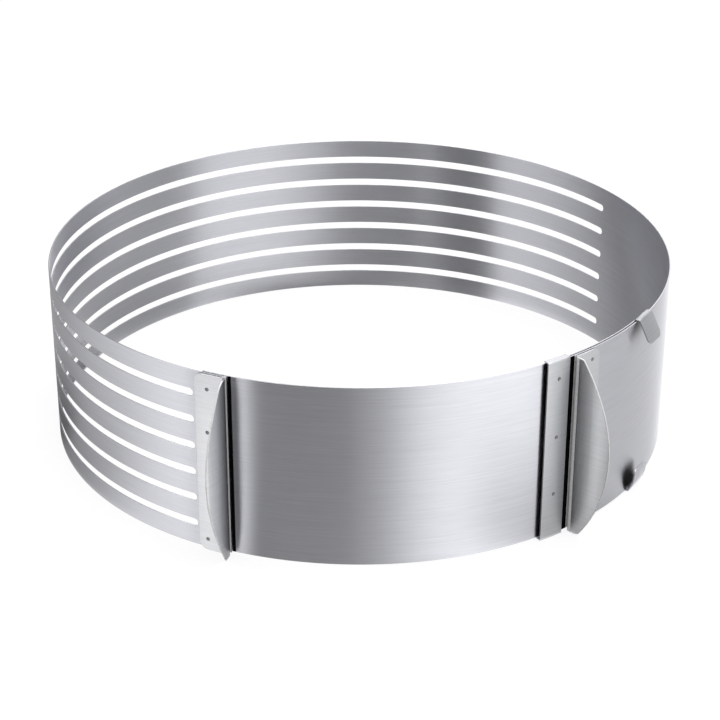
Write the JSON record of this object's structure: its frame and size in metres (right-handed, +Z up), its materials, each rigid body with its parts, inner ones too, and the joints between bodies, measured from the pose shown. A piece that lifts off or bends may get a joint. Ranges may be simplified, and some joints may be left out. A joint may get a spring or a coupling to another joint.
{
  "type": "adjustable cake slicing ring",
  "caption": "Open ring of brushed sheet steel with knife slots round its side and back; a plain band slides inside it between two handles to set the diameter.",
  "frame": {"origin": "middle of the footprint, on the surface that the ring stands on; the ring's own axis lies 5.6 mm behind it", "axes": "+Z up along the ring's axis, -Y to the front, between the two handles, +X to the right as seen from the front"},
  "size_m": [0.292, 0.3032, 0.0868],
  "materials": {
    "slotted_steel": "fine brushed stainless, grain along the band",
    "plain_steel": "brushed stainless, grain along the band",
    "handle_steel": "satin brushed stainless"
  },
  "bodies": {
    "welded_end": {"slotted_band_left_comb": "slotted_steel", "left_handle": "handle_steel", "plain_band_link_1": "plain_steel"},
    "slotted_link_1": {"slotted_band_1_bar_1": "slotted_steel", "slotted_band_1_bar_2": "slotted_steel", "slotted_band_1_bar_3": "slotted_steel", "slotted_band_1_bar_4": "slotted_steel", "slotted_band_1_bar_5": "slotted_steel", "slotted_band_1_bar_6": "slotted_steel", "slotted_band_1_bar_7": "slotted_steel"},
    "slotted_link_2": {"slotted_band_2_bar_1": "slotted_steel", "slotted_band_2_bar_2": "slotted_steel", "slotted_band_2_bar_3": "slotted_steel", "slotted_band_2_bar_4": "slotted_steel", "slotted_band_2_bar_5": "slotted_steel", "slotted_band_2_bar_6": "slotted_steel", "slotted_band_2_bar_7": "slotted_steel"},
    "slotted_link_3": {"slotted_band_3_bar_1": "slotted_steel", "slotted_band_3_bar_2": "slotted_steel", "slotted_band_3_bar_3": "slotted_steel", "slotted_band_3_bar_4": "slotted_steel", "slotted_band_3_bar_5": "slotted_steel", "slotted_band_3_bar_6": "slotted_steel", "slotted_band_3_bar_7": "slotted_steel"},
    "slotted_link_4": {"slotted_band_4_bar_1": "slotted_steel", "slotted_band_4_bar_2": "slotted_steel", "slotted_band_4_bar_3": "slotted_steel", "slotted_band_4_bar_4": "slotted_steel", "slotted_band_4_bar_5": "slotted_steel", "slotted_band_4_bar_6": "slotted_steel", "slotted_band_4_bar_7": "slotted_steel"},
    "slot_end": {"slotted_band_right_comb": "slotted_steel"},
    "plate_1": {"slotted_band_plate_1": "slotted_steel"},
    "plate_2": {"slotted_band_plate_2": "slotted_steel"},
    "plate_3": {"slotted_band_plate_3": "slotted_steel"},
    "plate_4": {"slotted_band_plate_4": "slotted_steel"},
    "sliding_end": {"slotted_band_plate_5": "slotted_steel", "right_handle": "handle_steel", "guide_strip": "handle_steel"},
    "plain_link_2": {"plain_band_link_2": "plain_steel"},
    "plain_link_3": {"plain_band_link_3": "plain_steel"},
    "plain_link_4": {"plain_band_link_4": "plain_steel"},
    "plain_link_5": {"plain_band_link_5": "plain_steel"},
    "plain_link_6": {"plain_band_link_6": "plain_steel"}
  },
  "joints": [
    {"name": "ring_adjust", "type": "hinge", "parent": "welded_end", "child": "slotted_link_1", "pos_m": [-0.10507, -0.09538, 0.0434], "axis": [0, 0, -1], "range_deg": [-1.08, 6.76]},
    {"name": "slotted_bend_2", "type": "hinge", "parent": "slotted_link_1", "child": "slotted_link_2", "pos_m": [-0.1457, 0.00517, 0.0434], "axis": [0, 0, -1], "range_deg": [-1.24, 7.75]},
    {"name": "slotted_bend_3", "type": "hinge", "parent": "slotted_link_2", "child": "slotted_link_3", "pos_m": [-0.10561, 0.10593, 0.0434], "axis": [0, 0, -1], "range_deg": [-1.24, 7.75]},
    {"name": "slotted_bend_4", "type": "hinge", "parent": "slotted_link_3", "child": "slotted_link_4", "pos_m": [-0.00701, 0.15109, 0.0434], "axis": [0, 0, -1], "range_deg": [-1.24, 7.75]},
    {"name": "slotted_bend_5", "type": "hinge", "parent": "slotted_link_4", "child": "slot_end", "pos_m": [0.09547, 0.11562, 0.0434], "axis": [0, 0, -1], "range_deg": [-0.92, 5.77]},
    {"name": "slotted_bend_6", "type": "hinge", "parent": "slot_end", "child": "plate_1", "pos_m": [0.13018, 0.071, 0.0434], "axis": [0, 0, -1], "range_deg": [-0.53, 3.31]},
    {"name": "slotted_bend_7", "type": "hinge", "parent": "plate_1", "child": "plate_2", "pos_m": [0.14356, 0.03043, 0.0434], "axis": [0, 0, -1], "range_deg": [-0.45, 2.84]},
    {"name": "slotted_bend_8", "type": "hinge", "parent": "plate_2", "child": "plate_3", "pos_m": [0.1446, -0.01228, 0.0434], "axis": [0, 0, -1], "range_deg": [-0.45, 2.84]},
    {"name": "slotted_bend_9", "type": "hinge", "parent": "plate_3", "child": "plate_4", "pos_m": [0.13321, -0.05345, 0.0434], "axis": [0, 0, -1], "range_deg": [-0.45, 2.84]},
    {"name": "slotted_bend_10", "type": "hinge", "parent": "plate_4", "child": "sliding_end", "pos_m": [0.11037, -0.08956, 0.0434], "axis": [0, 0, -1], "range_deg": [-0.45, 2.84]},
    {"name": "plain_bend_1", "type": "hinge", "parent": "welded_end", "child": "plain_link_2", "pos_m": [-0.03009, -0.13577, 0.0434], "axis": [0, 0, 1], "range_deg": [-0.68, 4.23]},
    {"name": "plain_bend_2", "type": "hinge", "parent": "plain_link_2", "child": "plain_link_3", "pos_m": [0.00698, -0.13877, 0.0434], "axis": [0, 0, 1], "range_deg": [-0.4, 2.51]},
    {"name": "plain_bend_3", "type": "hinge", "parent": "plain_link_3", "child": "plain_link_4", "pos_m": [0.04358, -0.13221, 0.0434], "axis": [0, 0, 1], "range_deg": [-0.4, 2.51]},
    {"name": "plain_bend_4", "type": "hinge", "parent": "plain_link_4", "child": "plain_link_5", "pos_m": [0.07729, -0.11653, 0.0434], "axis": [0, 0, 1], "range_deg": [-0.4, 2.51]},
    {"name": "plain_bend_5", "type": "hinge", "parent": "plain_link_5", "child": "plain_link_6", "pos_m": [0.10589, -0.09277, 0.0434], "axis": [0, 0, 1], "range_deg": [-0.4, 2.51]}
  ],
  "couplings": [
    {"joint": "slotted_bend_2", "follows": "ring_adjust", "ratio": 1.1347},
    {"joint": "slotted_bend_3", "follows": "ring_adjust", "ratio": 1.1347},
    {"joint": "slotted_bend_4", "follows": "ring_adjust", "ratio": 1.1347},
    {"joint": "slotted_bend_5", "follows": "ring_adjust", "ratio": 0.84495},
    {"joint": "slotted_bend_6", "follows": "ring_adjust", "ratio": 0.48541},
    {"joint": "slotted_bend_7", "follows": "ring_adjust", "ratio": 0.41568},
    {"joint": "slotted_bend_8", "follows": "ring_adjust", "ratio": 0.41568},
    {"joint": "slotted_bend_9", "follows": "ring_adjust", "ratio": 0.41568},
    {"joint": "slotted_bend_10", "follows": "ring_adjust", "ratio": 0.41568},
    {"joint": "plain_bend_1", "follows": "ring_adjust", "ratio": 0.62001},
    {"joint": "plain_bend_2", "follows": "ring_adjust", "ratio": 0.36714},
    {"joint": "plain_bend_3", "follows": "ring_adjust", "ratio": 0.36714},
    {"joint": "plain_bend_4", "follows": "ring_adjust", "ratio": 0.36714},
    {"joint": "plain_bend_5", "follows": "ring_adjust", "ratio": 0.36714}
  ]
}
